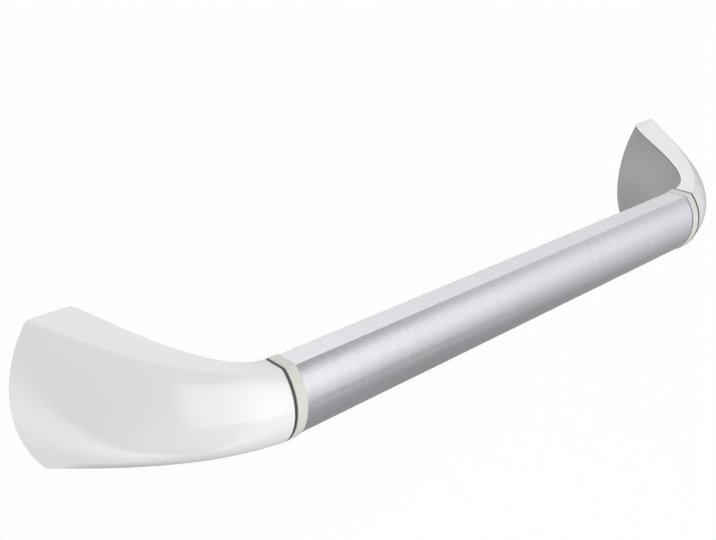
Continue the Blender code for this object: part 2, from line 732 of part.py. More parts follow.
def end_meshes():
    """One mesh for each piece that both ends use."""
    return {
        "end_bracket": bracket_mesh(),
        "screw_cover": cover_mesh(),
        "wall_plate": plate_mesh(),
        "rail_connector": connector_mesh(),
        "seal_ring": ring_mesh(),
        "plate_screw": headed_screw_mesh(PLATE_SCREW_HEAD_RADIUS, PLATE_SCREW_HEAD, PLATE_SCREW_LENGTH),
        "connector_screw": headed_screw_mesh(
            CONNECTOR_SCREW_HEAD_RADIUS, CONNECTOR_SCREW_HEAD, CONNECTOR_SCREW_LENGTH
        ),
        "set_screw": set_screw_mesh(),
    }


def place_end(side, empty, meshes, looks):
    """All pieces of one end."""
    for part in ("end_bracket", "screw_cover", "wall_plate", "rail_connector", "seal_ring"):
        placed(f"{part}_{side}", meshes[part], looks[part], empty)
    head_seat = LUG_SHIFT + LUG_THICKNESS + SEAT_GAP
    steel = looks["screws"]
    for level, sense in (("upper", 1.0), ("lower", -1.0)):
        height = sense if side == "left" else -sense
        placed(
            f"plate_screw_{level}_{side}",
            meshes["plate_screw"],
            steel,
            empty,
            (head_seat, -PLATE_SCREW_HEIGHT, height * PLATE_SCREW_HALF_SPACING),
            math.pi,
        )
        placed(
            f"connector_screw_{level}_{side}",
            meshes["connector_screw"],
            steel,
            empty,
            (
                CAVITY_END - SEAT_GAP,
                CONNECTOR_SCREW_SHIFT - RAIL_AXIS_DEPTH,
                height * CONNECTOR_SCREW_HALF_SPACING,
            ),
        )
    key_end = -RAIL_AXIS_DEPTH + RAIL_HALF_DEPTH - SET_SCREW_SUNK
    set_screw_at = (RAIL_START + SET_SCREW_SHIFT, key_end, 0.0)
    placed(f"rail_set_screw_{side}", meshes["set_screw"], steel, empty, set_screw_at, -math.pi / 2)


def main():
    """Empty the scene and build the rail and its two ends."""
    for item in list(bpy.data.objects):
        bpy.data.objects.remove(item)
    looks = {
        "end_bracket": material("white_gloss_plastic", (0.86, 0.86, 0.86), 0.0, 0.12),
        "screw_cover": material("grey_plastic", (0.33, 0.33, 0.33), 0.0, 0.45),
        "wall_plate": material("plate_alloy", (0.62, 0.62, 0.63), 1.0, 0.4),
        "rail_connector": material("cast_alloy", (0.58, 0.58, 0.6), 1.0, 0.5),
        "seal_ring": material("ivory_elastomer", (0.78, 0.8, 0.74), 0.0, 0.5),
        "screws": material("stainless_steel", (0.6, 0.6, 0.6), 1.0, 0.3),
    }
    meshes = end_meshes()
    brushed = material("brushed_aluminium", (0.77, 0.76, 0.8), 1.0, 0.32)
    placed("rail_tube", rail_mesh(), brushed)
    place_end("left", end_empty("left_end", 0.0, 0.0), meshes, looks)
    place_end("right", end_empty("right_end", FIXING_SPACING, math.pi), meshes, looks)


main()
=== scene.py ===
import math

import bmesh
import bpy
import numpy as np
from mathutils import Matrix, Vector
from mathutils.bvhtree import BVHTree


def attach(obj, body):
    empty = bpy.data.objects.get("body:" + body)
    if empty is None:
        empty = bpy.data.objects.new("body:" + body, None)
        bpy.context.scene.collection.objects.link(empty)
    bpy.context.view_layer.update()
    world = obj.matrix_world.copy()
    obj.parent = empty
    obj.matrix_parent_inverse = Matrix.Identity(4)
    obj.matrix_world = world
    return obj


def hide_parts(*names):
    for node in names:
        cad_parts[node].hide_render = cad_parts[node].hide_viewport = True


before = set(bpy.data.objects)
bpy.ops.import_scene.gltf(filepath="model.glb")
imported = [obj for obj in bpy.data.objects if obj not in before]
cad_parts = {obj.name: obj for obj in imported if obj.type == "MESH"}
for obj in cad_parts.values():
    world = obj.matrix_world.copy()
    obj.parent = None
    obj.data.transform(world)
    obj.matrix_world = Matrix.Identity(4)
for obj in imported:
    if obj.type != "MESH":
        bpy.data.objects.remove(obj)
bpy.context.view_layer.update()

MM = 0.001

# Camera, solved from the rail's parallel edges, both feet and both seal rings
CAMERA_PLACE = (-0.160524, -0.353338, 0.222251)
CAMERA_YAW = math.radians(43.491)
CAMERA_PITCH = math.radians(24.166)
CAMERA_ROLL = math.radians(0.824)
CAMERA_LENS = 49.207
SENSOR_WIDTH = 36.0

# Rail section: arched front and rear, each bulging beyond the corners of a flat top and bottom
FIXING_SPACING = 450.0 * MM
RAIL_AXIS_DEPTH = 70.0 * MM
RAIL_HALF_HEIGHT = 17.5 * MM
RAIL_FLAT_HALF = 5.65 * MM
RAIL_BULGE = 7.7 * MM
RAIL_WALL = 2.2 * MM
RAIL_CORNER = 0.6 * MM
REAR_EDGE = 0.5 * MM

# Foot of the bracket, measured from the middle of its face on the wall
FOOT_HALF_HEIGHT = 37.0 * MM
FOOT_OUTER_CORNER = 13.1 * MM
FOOT_INNER_CORNER = 7.1 * MM
FOOT_OUTER_REACH = 25.0 * MM
FOOT_INNER_REACH = 22.3 * MM
FOOT_CORNER_RADIUS = 3.0 * MM

# Sweep of the bracket from the foot to its mouth
MOUTH_OFFSET = 60.4 * MM
MOUTH_CORNER_RADIUS = 1.8 * MM
OUTER_FOOT_HANDLE = np.array((33.9, -60.0, -15.4)) * MM
OUTER_MOUTH_HANDLE = np.array((-20.6, 6.5, 1.5)) * MM
INNER_FOOT_HANDLE = np.array((7.4, -3.0, -4.1)) * MM
INNER_MOUTH_HANDLE = np.array((-29.7, -4.0, 3.5)) * MM
FRONT_BULGE_NEAR_FOOT = 20.0 * MM
FRONT_BULGE_NEAR_MOUTH = 8.7 * MM

# Bracket shell, its screw cover and the ring at its mouth
SHELL_WALL = 3.5 * MM
SPIGOT_POCKET_DEPTH = 11.0 * MM
SPIGOT_NECK_INSET = 5.0 * MM
BULKHEAD_THICKNESS = 4.0 * MM
BOSS_RADIUS = 5.0 * MM
BOSS_END = 1.7 * MM
BOSS_EDGE = 0.4 * MM
BOSS_HOLE_DEPTH = 6.0 * MM
BOSS_ROOT = 1.0 * MM
COVER_THICKNESS = 2.2 * MM
TONGUE_START = 12.8 * MM
TONGUE_END = 27.9 * MM
TONGUE_THICKNESS = 1.8 * MM
TONGUE_DEPTH = 9.0 * MM
TONGUE_EDGE = 0.4 * MM
SEAM_INSET = 1.5 * MM
NOSE_CORNER = 3.0 * MM
NOSE_CLEARANCE = 1.0 * MM
LIP = 0.25 * MM
MOUTH_LIP = 0.3 * MM
NOSE_GAP = 0.1 * MM
RING_WIDTH = 7.0 * MM
RING_PROUD = 0.6 * MM
RING_GROOVE_WIDTH = 0.9 * MM
RING_GROOVE_DEPTH = 1.0 * MM
RING_ROUND = 0.3 * MM
SEAT_GAP = 0.3 * MM
HOLE_GAP = 0.3 * MM
HOLE_MARGIN = 6.0 * MM

# Holes for the screws
SCREW_RADIUS = 2.5 * MM
PLATE_SCREW_HEIGHT = 13.5 * MM
PLATE_SCREW_HALF_SPACING = 9.0 * MM
CONNECTOR_SCREW_SHIFT = 3.5 * MM
CONNECTOR_SCREW_HALF_SPACING = 7.5 * MM
SET_SCREW_SHIFT = 18.0 * MM
SET_SCREW_RADIUS = 3.0 * MM

# Fineness of the curved surfaces
CREASE_SAMPLES = 3000
TURN_SAMPLES = 500
ARC_STEPS = 22
FILLET_STEPS = 7
FLAT_STEPS = 5
EDGE_STEPS = 3
RIM_STEPS = 2
LIP_STEPS = 3
RING_ROUND_STEPS = 5
SWEEP_STEPS = 60
MOUTH_STEPS = 10
NOSE_CORNER_STEPS = 6
NOSE_STEPS = 12
TONGUE_STEPS = 8
ROUND_STEPS = 48
RIM_SHARE = 0.9
LEDGE_PASSES = 6
MERGE_DISTANCE = 0.005 * MM
SMOOTH_ANGLE = math.radians(35.0)

# Place of the painted gap shade among the looks of a mesh: dark colour painted on the faces in the
# narrow gaps between bracket and ring and round the cover, standing in for the shade there
GAP_SHADE = 1

# Studio: a pale floor, and soft lamps and flags in even surroundings of strength SURROUNDINGS,
# nowhere darker than DARKEST, or than DARKEST_MIRRORED where gloss and metal mirror them;
# the horizon and the ground below it are in degrees
FLOOR_HEIGHT = -0.45
FLOOR_HALF_WIDTH = 6.0
FLOOR_GLOW = 0.275
SURROUNDINGS = 0.19
DARKEST = 0.06
DARKEST_MIRRORED = 0.3
GROUND_LEVEL = 1.222
HORIZON = -14.9
HORIZON_SOFTNESS = 13.6
GROUND_HALF_HEIGHT = 90.0
# Panels: azimuth from +X, elevation, half width, half height and softness in degrees, added strength
STUDIO_PANELS = (
    (-112.4, 25.4, 77.9, 55.5, 4.1, -0.52),
    (-62.3, 10.9, 36.4, 27.2, 19.5, 1.27),
    (35.2, -64.2, 106.0, 42.7, 22.8, -0.89),
    (49.5, 61.7, 74.0, 37.4, 11.2, 1.04),
    (125.8, 14.7, 15.0, 22.6, 2.0, 4.73),
    (-108.3, 10.6, 25.0, 38.3, 6.8, 2.65),
    (-140.2, -51.5, 37.6, 46.0, 9.4, -1.22),
    (25.3, 5.0, 12.1, 6.3, 12.2, 1.53),
    (0.7, 20.7, 16.4, 44.4, 1.5, -0.44),
    (130.2, -40.5, 45.8, 41.5, 6.9, 0.51),
)

# Sizes that follow from the ones above
RAIL_HALF_DEPTH = RAIL_FLAT_HALF + RAIL_BULGE
RAIL_RADIUS = (RAIL_HALF_HEIGHT**2 + RAIL_BULGE**2) / (2 * RAIL_BULGE)
MOUTH_RADIUS = RAIL_RADIUS + RING_PROUD
MOUTH_HALF_HEIGHT = RAIL_HALF_HEIGHT + RING_PROUD
MOUTH_FLAT_HALF = RAIL_HALF_DEPTH - RAIL_RADIUS + math.sqrt(MOUTH_RADIUS**2 - MOUTH_HALF_HEIGHT**2)
MOUTH_BULGE = RAIL_HALF_DEPTH + RING_PROUD - MOUTH_FLAT_HALF
RING_START = MOUTH_OFFSET + SEAT_GAP
RING_END = MOUTH_OFFSET + RING_WIDTH
RAIL_START = RING_END + SEAT_GAP
POCKET_START = MOUTH_OFFSET - SPIGOT_POCKET_DEPTH
CAVITY_END = POCKET_START - BULKHEAD_THICKNESS
SCREW_HOLE = SCREW_RADIUS + HOLE_GAP
SET_HOLE = SET_SCREW_RADIUS + HOLE_GAP
NOSE_RADIUS = MOUTH_RADIUS + NOSE_CLEARANCE
NOSE_CENTRE = -RAIL_AXIS_DEPTH + RAIL_HALF_DEPTH - RAIL_RADIUS


def quadratic(before, corner, after, steps):
    """Points of the curve that rounds a corner, its ends included."""
    t = np.linspace(0.0, 1.0, steps + 1)[:, None]
    return (1 - t) ** 2 * before + 2 * t * (1 - t) * corner + t**2 * after


def bezier(points, t):
    """Points at each t on the cubic Bezier curve with these four control points."""
    t = np.asarray(t)[..., None]
    s = 1.0 - t
    return points[0] * s**3 + points[1] * 3 * s * s * t + points[2] * 3 * s * t * t + points[3] * t**3


def crease_curve(foot_corner, mouth_corner, foot_handle, mouth_handle):
    """Points along an upper crease and the turn of the section plane through each."""
    start = np.array((foot_corner, 0.0, FOOT_HALF_HEIGHT))
    end = np.array((MOUTH_OFFSET, mouth_corner, MOUTH_HALF_HEIGHT))
    control = (start, start + foot_handle, end + mouth_handle, end)
    line = bezier(control, np.linspace(0.0, 1.0, CREASE_SAMPLES))
    return line, np.arctan2(-line[:, 1], MOUTH_OFFSET - line[:, 0])


OUTER_CREASE = crease_curve(
    -FOOT_OUTER_CORNER, -RAIL_AXIS_DEPTH - MOUTH_FLAT_HALF, OUTER_FOOT_HANDLE, OUTER_MOUTH_HANDLE
)
INNER_CREASE = crease_curve(
    FOOT_INNER_CORNER, -RAIL_AXIS_DEPTH + MOUTH_FLAT_HALF, INNER_FOOT_HANDLE, INNER_MOUTH_HANDLE
)


def at_turn(crease, turn):
    """Where a crease passes through the section plane at this turn."""
    line, turns = crease
    return np.array([np.interp(turn, turns, line[:, axis]) for axis in range(3)])


def arc_radius(half_chord, bulge):
    """Radius of the arc that rises by bulge over a chord of twice half_chord."""
    return (half_chord**2 + bulge**2) / (2.0 * bulge)


class Barrel:
    """Barrel outline: arcs in front and behind, cut off by a flat top and bottom.

    Places are (u, v): u runs from the rear corner to the front corner, and v is the height.
    """

    def __init__(self, width, heights, bulges, inset=0.0):
        self.slope = (heights[0] - heights[1]) / width
        self.lean = math.atan(self.slope)
        self.top = heights[1] - inset / math.cos(self.lean)
        self.front_radius = arc_radius(heights[0], bulges[0]) - inset
        self.rear_radius = arc_radius(heights[1], bulges[1]) - inset
        self.front_centre = width + bulges[0] - inset - self.front_radius
        self.rear_centre = self.rear_radius - bulges[1] + inset
        self.front_turn = self.crossing(self.front_centre, self.front_radius) + self.lean
        self.rear_turn = self.crossing(self.rear_centre, self.rear_radius) - self.lean

    def crossing(self, centre, radius):
        """Angle at which an arc meets the flat, before the flat's lean."""
        return math.asin((self.top + self.slope * centre) * math.cos(self.lean) / radius)

    def front(self, angles):
        """Points on the front arc."""
        across = self.front_centre + self.front_radius * np.cos(angles)
        return np.stack([across, self.front_radius * np.sin(angles)], axis=-1)

    def rear(self, angles):
        """Points on the rear arc."""
        across = self.rear_centre - self.rear_radius * np.cos(angles)
        return np.stack([across, self.rear_radius * np.sin(angles)], axis=-1)

    def front_half(self, corner):
        """Points from the front's middle to the start of the flat."""
        setback = corner * math.tan((math.pi / 2 - self.front_turn) / 2)
        corner_point = self.front(self.front_turn)
        towards_rear = self.rear(self.rear_turn) - corner_point
        flat_start = corner_point + towards_rear / np.linalg.norm(towards_rear) * setback
        arc = self.front(np.linspace(0.0, self.front_turn - setback / self.front_radius, ARC_STEPS + 1))
        return np.concatenate([arc, quadratic(arc[-1], corner_point, flat_start, FILLET_STEPS)[1:]])

    def upper(self, corner, rim_angle):
        """Points from the front's middle, over the flat and the rounded rear edge, to rim_angle."""
        front = self.front_half(corner)
        setback = REAR_EDGE * math.tan((math.pi / 2 - self.rear_turn) / 2)
        corner_point = self.rear(self.rear_turn)
        towards_front = front[-1] - corner_point
        flat_end = corner_point + towards_front / np.linalg.norm(towards_front) * setback
        flat = straight(front[-1], flat_end, FLAT_STEPS)[1:]
        rim_start = self.rear_turn - setback / self.rear_radius
        edge = quadratic(flat_end, corner_point, self.rear(rim_start), EDGE_STEPS)[1:]
        rim = self.rear(np.linspace(rim_start, rim_angle, RIM_STEPS + 1))[1:]
        return np.concatenate([front, flat, edge, rim])


def straight(start, end, steps):
    """Evenly spaced points from start to end."""
    t = np.linspace(0.0, 1.0, steps + 1)[:, None]
    return start + (end - start) * t


class Section:
    """Section of the bracket in an upright plane.

    The planes fan out from the line where the wall meets the plane of the mouth: turn is 0 in the
    wall and a quarter turn at the mouth.
    """

    def __init__(self, turn):
        share = turn / (math.pi / 2)
        inner = at_turn(INNER_CREASE, turn)
        outer = at_turn(OUTER_CREASE, turn)
        self.base = np.array((inner[0], inner[1], 0.0))
        self.across = np.array((-math.cos(turn), -math.sin(turn), 0.0))
        self.width = float(np.dot(outer - inner, self.across))
        self.heights = (outer[2], inner[2])
        front_foot = FOOT_OUTER_REACH - FOOT_OUTER_CORNER
        rear_foot = FOOT_INNER_REACH - FOOT_INNER_CORNER
        front = (front_foot, FRONT_BULGE_NEAR_FOOT, FRONT_BULGE_NEAR_MOUTH, MOUTH_BULGE)
        self.bulges = (float(bezier(front, share)[0]), rear_foot + (MOUTH_BULGE - rear_foot) * share)
        self.corner = FOOT_CORNER_RADIUS + (MOUTH_CORNER_RADIUS - FOOT_CORNER_RADIUS) * share
        self.rear_radius = arc_radius(self.heights[1], self.bulges[1])

    def place(self, places):
        """Points in space for (u, v) places in the section."""
        up = np.array((0.0, 0.0, 1.0))
        return self.base + places[:, :1] * self.across + places[:, 1:] * up

    def rim_angle(self, inset):
        """Angle on the rear arc at a distance of inset from the inner crease, along the arc."""
        return math.asin(self.heights[1] / self.rear_radius) - inset / self.rear_radius

    def rear_face(self, z):
        """u of the rear face at the height z."""
        return self.rear_radius - self.bulges[1] - np.sqrt(self.rear_radius**2 - z**2)

    def top_face(self, u, inset):
        """Height of the top face at u, lowered by inset."""
        slope = (self.heights[0] - self.heights[1]) / self.width
        return self.heights[1] + slope * u - inset / math.cos(math.atan(slope))

    def skin(self, inset):
        """Upper half of the outer skin, from the front's middle to inset from the inner crease."""
        barrel = Barrel(self.width, self.heights, self.bulges)
        return self.place(barrel.upper(self.corner, self.rim_angle(inset)))

    def cavity(self, floor_shift):
        """Upper half of the hollow, from the front's middle to the cover's ledge."""
        barrel = Barrel(self.width, self.heights, self.bulges, SHELL_WALL)
        front = barrel.front_half(max(self.corner - SHELL_WALL, RAIL_CORNER))
        height = barrel.top
        for _ in range(LEDGE_PASSES):
            height = barrel.top + barrel.slope * (self.rear_face(height) + floor_shift)
        ledge = np.array((self.rear_face(height) + floor_shift, height))
        flat = straight(front[-1], ledge, FLAT_STEPS + EDGE_STEPS + RIM_STEPS)[1:]
        return self.place(np.concatenate([front, flat]))


class RearFace:
    """The bracket's rear face, moved towards the front by shift, over places (y, z)."""

    def __init__(self, shift):
        self.shift = shift
        self.turns = np.linspace(0.0, math.pi / 2, TURN_SAMPLES)
        sections = [Section(turn) for turn in self.turns]
        self.base = np.array([section.base for section in sections])
        self.across = np.array([section.across for section in sections])
        self.radius = np.array([section.rear_radius for section in sections])
        self.bulge = np.array([section.bulges[1] for section in sections])

    def lines(self, z):
        """x and y of the face along the sweep at the height z."""
        rise = np.sqrt(np.maximum(self.radius**2 - z**2, 0.0))
        u = self.radius - self.bulge - rise + self.shift
        return self.base[:, 0] + self.across[:, 0] * u, self.base[:, 1] + self.across[:, 1] * u

    def lift(self, places):
        """Points of the face at the places (y, z)."""
        points = []
        for y, z in places:
            across, depth = self.lines(z)
            points.append((np.interp(-y, -depth, across), y, z))
        return np.array(points)

    def turn_at(self, y, z):
        """Turn of the section plane through the place (y, z) of the face."""
        return float(np.interp(-y, -self.lines(z)[1], self.turns))

    def at_x(self, x, z):
        """Point of the face at x and the height z."""
        across, depth = self.lines(z)
        return np.array((x, np.interp(x, across, depth), z))


class Window:
    """Outline of the cover or of its seat, seen along X, from the wall to the middle of its nose.

    It follows the inner crease at a distance of inset and ends in a nose, an arc that follows the
    rear of the mouth, with a rounded corner between them.
    """

    def __init__(self, inset, nose_radius, wall_gap=0.0):
        self.inset = inset
        self.centre = np.array((NOSE_CENTRE, 0.0))
        self.nose_radius = nose_radius
        turns = np.linspace(0.0, math.pi / 2, TURN_SAMPLES)
        line = np.array([self.place(turn) for turn in turns])
        from_centre = np.linalg.norm(line - self.centre, axis=1)
        corner_turn = self.first_below(turns, from_centre, nose_radius)
        self.corner = self.place(corner_turn)
        from_corner = np.linalg.norm(line - self.corner, axis=1)
        before = turns < corner_turn
        self.end_turn = self.first_below(turns[before], from_corner[before], NOSE_CORNER)
        self.start_turn = self.first_below(turns, line[:, 0], -wall_gap)

    @staticmethod
    def first_below(turns, values, limit):
        """Turn at which falling values reach the limit."""
        return float(np.interp(-limit, -values, turns))

    def place(self, turn):
        """(y, z) at a distance of inset from the inner crease."""
        section = Section(turn)
        height = section.rear_radius * math.sin(section.rim_angle(self.inset))
        point = section.place(np.array([(section.rear_face(height), height)]))[0]
        return point[1:]

    def half(self):
        """(y, z) points of the upper half."""
        turns = np.linspace(self.start_turn, self.end_turn, SWEEP_STEPS + 1)
        edge = np.array([self.place(turn) for turn in turns])
        offset = self.corner - self.centre
        corner_angle = math.atan2(offset[1], offset[0])
        angles = np.linspace(corner_angle - NOSE_CORNER / self.nose_radius, 0.0, NOSE_STEPS + 1)
        nose = self.centre + self.nose_radius * np.stack([np.cos(angles), np.sin(angles)], axis=-1)
        corner = quadratic(edge[-1], self.corner, nose[0], NOSE_CORNER_STEPS)
        return np.concatenate([edge, corner[1:-1], nose])


def rail_loop(x, inset, corner=RAIL_CORNER, rim_angle=None, rear_steps=ARC_STEPS):
    """Closed section loop of the rail at x, offset inwards by inset."""
    heights = (RAIL_HALF_HEIGHT, RAIL_HALF_HEIGHT)
    barrel = Barrel(2 * RAIL_FLAT_HALF, heights, (RAIL_BULGE, RAIL_BULGE), inset)
    if rim_angle is None:
        rim_angle = barrel.rear_turn * RIM_SHARE
    rear = barrel.rear(np.linspace(rim_angle, 0.0, rear_steps + 1))[1:]
    half = np.concatenate([barrel.upper(corner, rim_angle), rear])
    depth = -RAIL_AXIS_DEPTH + RAIL_FLAT_HALF - half[:, 0]
    return round_rear(np.stack([np.full(len(half), x), depth, half[:, 1]], axis=-1))


def mirrored(points):
    """The points mirrored in the rail's middle height."""
    return points * np.array((1.0, 1.0, -1.0))


def over_front(half):
    """Row from an upper half's rear end, over the front, to the lower half's rear end."""
    return np.concatenate([half[::-1], mirrored(half[1:])])


def round_rear(half):
    """Closed row from an upper half that runs from the front's middle to the rear's."""
    return np.concatenate([half, mirrored(half[1:-1])[::-1]])


def two_sided(half):
    """Row of (a, z) places from the upper end of a half, through its middle, to the lower end."""
    return np.concatenate([half, half[-2::-1] * np.array((1.0, -1.0))])


def filled(left, right, top, bottom):
    """Grid of points that blends four boundary rows: left and right run down, top and bottom across."""
    s = np.linspace(0.0, 1.0, len(left))[:, None, None]
    t = np.linspace(0.0, 1.0, len(top))[None, :, None]
    sides = (1 - t) * left[:, None] + t * right[:, None]
    ends = (1 - s) * top[None] + s * bottom[None]
    upper = (1 - t) * top[0] + t * top[-1]
    lower = (1 - t) * bottom[0] + t * bottom[-1]
    return sides + ends - (1 - s) * upper - s * lower


def combined(mesh, others, operation):
    """The mesh joined with or cut by the other meshes."""
    scene = bpy.context.scene
    base = bpy.data.objects.new(mesh.name, mesh)
    scene.collection.objects.link(base)
    tools = []
    for other in others:
        tool = bpy.data.objects.new("tool", other)
        scene.collection.objects.link(tool)
        cut = base.modifiers.new("cut", "BOOLEAN")
        cut.solver = "EXACT"
        cut.operation = operation
        cut.object = tool
        tools.append(tool)
    bpy.context.view_layer.update()
    result = bpy.data.meshes.new_from_object(base.evaluated_get(bpy.context.evaluated_depsgraph_get()))
    for item in (base, *tools):
        bpy.data.objects.remove(item)
    return result


class Shell:
    """A mesh put together from grids of points whose shared borders are merged at the end."""

    def __init__(self):
        self.bm = bmesh.new()

    def grid(self, rows, closed=False, look=0):
        """Four-sided faces between neighbouring points of a grid, in one of the mesh's looks."""
        verts = [[self.bm.verts.new(point) for point in row] for row in rows]
        for row, after in zip(verts, verts[1:]):
            last = len(row) if closed else len(row) - 1
            for i in range(last):
                j = (i + 1) % len(row)
                face = self.bm.faces.new((row[i], row[j], after[j], after[i]))
                face.material_index = look

    def face(self, points):
        """One flat face."""
        self.bm.faces.new([self.bm.verts.new(point) for point in points])

    def mesh(self, name, *looks):
        """The merged mesh, its faces turned outwards, with its materials."""
        bmesh.ops.remove_doubles(self.bm, verts=self.bm.verts, dist=MERGE_DISTANCE)
        bmesh.ops.recalc_face_normals(self.bm, faces=self.bm.faces)
        mesh = bpy.data.meshes.new(name)
        for look in looks:
            mesh.materials.append(look)
        self.bm.to_mesh(mesh)
        self.bm.free()
        return mesh


def turned(profile, y=0.0, z=0.0):
    """Closed mesh from (x, radius) points turned about a line along X."""
    shell = Shell()
    angles = np.linspace(0.0, 2 * math.pi, ROUND_STEPS + 1)[:-1]
    around = np.stack([np.zeros(ROUND_STEPS), np.cos(angles), np.sin(angles)], axis=-1)
    shell.grid([np.array((x, y, z)) + radius * around for x, radius in profile], closed=True)
    return shell.mesh("turned")


def rod(start, end, radius, y, z):
    """Round rod along X."""
    return turned([(start, 0.0), (start, radius), (end, radius), (end, 0.0)], y, z)


# The bracket's rear face, and the nose's part of a window's half outline
FACE = RearFace(0.0)
NOSE_PART = slice(SWEEP_STEPS, None)


def rim_place(turn, inset):
    """Turn and height of the point at a distance of inset from the inner crease."""
    section = Section(turn)
    return turn, section.rear_radius * math.sin(section.rim_angle(inset))


def face_point(turn, z):
    """Point of the rear face in the section plane at turn and the height z."""
    section = Section(turn)
    return section.place(np.array([(section.rear_face(z), z)]))[0]


def rounded_lip(face, edge, wall):
    """Rows that round the edge between a face's border and the wall below it."""
    return [
        (1 - t) ** 2 * face + 2 * t * (1 - t) * edge + t**2 * wall
        for t in np.linspace(0.0, 1.0, LIP_STEPS + 1)
    ]


def bracket_skin(shell, window):
    """Outer skin up to just before the mouth. Gives the border of the window and the last loop."""
    last_turn = math.pi / 2 - math.atan(MOUTH_LIP / RAIL_AXIS_DEPTH)
    sweep = np.linspace(0.0, window.end_turn, SWEEP_STEPS + 1)
    reach = np.linspace(window.end_turn, last_turn, MOUTH_STEPS + 1)
    halves = [Section(turn).skin(window.inset) for turn in (*sweep, *reach[1:])]
    shell.grid([over_front(half) for half in halves])

    nose = window.half()[NOSE_PART]
    left = np.array([(FACE.turn_at(y, z), z) for y, z in nose])
    left[0] = rim_place(window.end_turn, window.inset)
    top = np.array([rim_place(turn, window.inset) for turn in reach])
    last = Section(last_turn)
    angles = np.linspace(last.rim_angle(window.inset), 0.0, len(nose))
    right = np.stack([np.full(len(nose), last_turn), last.rear_radius * np.sin(angles)], axis=-1)
    patch = filled(two_sided(left), two_sided(right), top, top * np.array((1.0, -1.0)))
    rear = np.array([[face_point(turn, z) for turn, z in row] for row in patch])
    shell.grid(rear)

    middle = len(nose)
    seam = [half[-1] for half in halves[: SWEEP_STEPS + 1]]
    border = np.concatenate([seam, rear[1:middle, 0]])
    return border, round_rear(np.concatenate([halves[-1], rear[1:middle, -1]]))


def bracket_mouth(shell, window, last_loop):
    """Rounded edge of the mouth, its face and the pocket for the spigot."""
    rim_angle = Section(math.pi / 2).rim_angle(window.inset)
    steps = NOSE_CORNER_STEPS + NOSE_STEPS
    rows = [last_loop]
    for angle in np.linspace(0.0, math.pi / 2, LIP_STEPS + 1)[1:]:
        x = MOUTH_OFFSET - MOUTH_LIP * (1 - math.sin(angle))
        inset = MOUTH_LIP * (1 - math.cos(angle)) - RING_PROUD
        rows.append(rail_loop(x, inset, mouth_corner(inset), rim_angle, steps))
    for x in (MOUTH_OFFSET, POCKET_START):
        rows.append(rail_loop(x, SPIGOT_NECK_INSET, RAIL_CORNER / 2, rear_steps=steps))
    # The mouth's rounded edge and its face take the painted gap shade: dark colour standing in for the
    # shade in the groove before the ring
    shell.grid(rows[:-1], closed=True, look=GAP_SHADE)
    shell.grid(rows[-2:], closed=True)
    shell.face(rows[-1])


def bracket_hollow(shell, floor):
    """Hollow of the bracket up to the bulkhead. Gives the border of the ledge round the window."""
    turns = np.linspace(0.0, math.pi / 2, TURN_SAMPLES)
    lines = np.array([Section(turn).cavity(floor.shift) for turn in turns])
    rows = []
    for share in np.linspace(0.0, 1.0, SWEEP_STEPS + 1):
        row = []
        for line in lines.transpose(1, 0, 2):
            turn = share * np.interp(CAVITY_END, line[:, 0], turns)
            row.append([np.interp(turn, turns, line[:, axis]) for axis in range(3)])
        rows.append(np.array(row))
    shell.grid([over_front(row) for row in rows])
    corner = rows[-1][-1]
    heights = np.linspace(corner[2], 0.0, NOSE_CORNER_STEPS + NOSE_STEPS + 1)[1:]
    edge = np.array([floor.at_x(CAVITY_END, z) for z in heights])
    border = np.concatenate([[row[-1] for row in rows], edge])
    bulkhead = over_front(rows[-1])
    shell.face(np.concatenate([bulkhead, mirrored(edge[:-1]), edge[::-1]]))
    return border, rows[0]


def bracket_ledge(shell, floor, border, ledge_border):
    """Rounded edge of the window, the wall below it and the ledge. Gives its corner at the foot."""
    seat = Window(SEAM_INSET - SEAT_GAP, NOSE_RADIUS - SEAT_GAP).half()
    edge = FACE.lift(seat)
    wall = edge - np.array((LIP, 0.0, 0.0))
    rows = rounded_lip(border, edge, wall) + [floor.lift(seat), ledge_border]
    rounds = [np.concatenate([row, mirrored(row[:-1])[::-1]]) for row in rows]
    # The rounded edge of the window takes the painted gap shade, dark colour for the shade in the gap
    # round the cover
    shell.grid(rounds[: LIP_STEPS + 1], look=GAP_SHADE)
    shell.grid(rounds[LIP_STEPS:])
    return np.array([row[0] for row in rows])


def with_screw_holes(mesh):
    """The bracket with its bosses for the plate screws and its holes for the connector screws."""
    levels = (-PLATE_SCREW_HALF_SPACING, PLATE_SCREW_HALF_SPACING)
    mesh = combined(mesh, [boss(mesh, z) for z in levels], "UNION")
    y = CONNECTOR_SCREW_SHIFT - RAIL_AXIS_DEPTH
    levels = (-CONNECTOR_SCREW_HALF_SPACING, CONNECTOR_SCREW_HALF_SPACING)
    ends = (CAVITY_END - BULKHEAD_THICKNESS / 2, POCKET_START + BULKHEAD_THICKNESS / 2)
    return combined(mesh, [rod(*ends, SCREW_HOLE, y, z) for z in levels], "DIFFERENCE")


def bracket_mesh(*looks):
    """End bracket: swept skin, window for the cover with its ledge, hollow, bulkhead and pocket."""
    shell = Shell()
    floor = RearFace(COVER_THICKNESS + SEAT_GAP)
    window = Window(SEAM_INSET - SEAT_GAP - LIP, NOSE_RADIUS - SEAT_GAP - LIP)
    border, last_loop = bracket_skin(shell, window)
    bracket_mouth(shell, window, last_loop)
    ledge_border, hollow_foot = bracket_hollow(shell, floor)
    foot_corner = bracket_ledge(shell, floor, border, ledge_border)
    foot = Section(0.0).skin(window.inset)
    shell.grid([over_front(foot), over_front(hollow_foot)])
    shell.face(foot_corner)
    shell.face(mirrored(foot_corner))
    return with_screw_holes(shell.mesh("end_bracket", *looks))


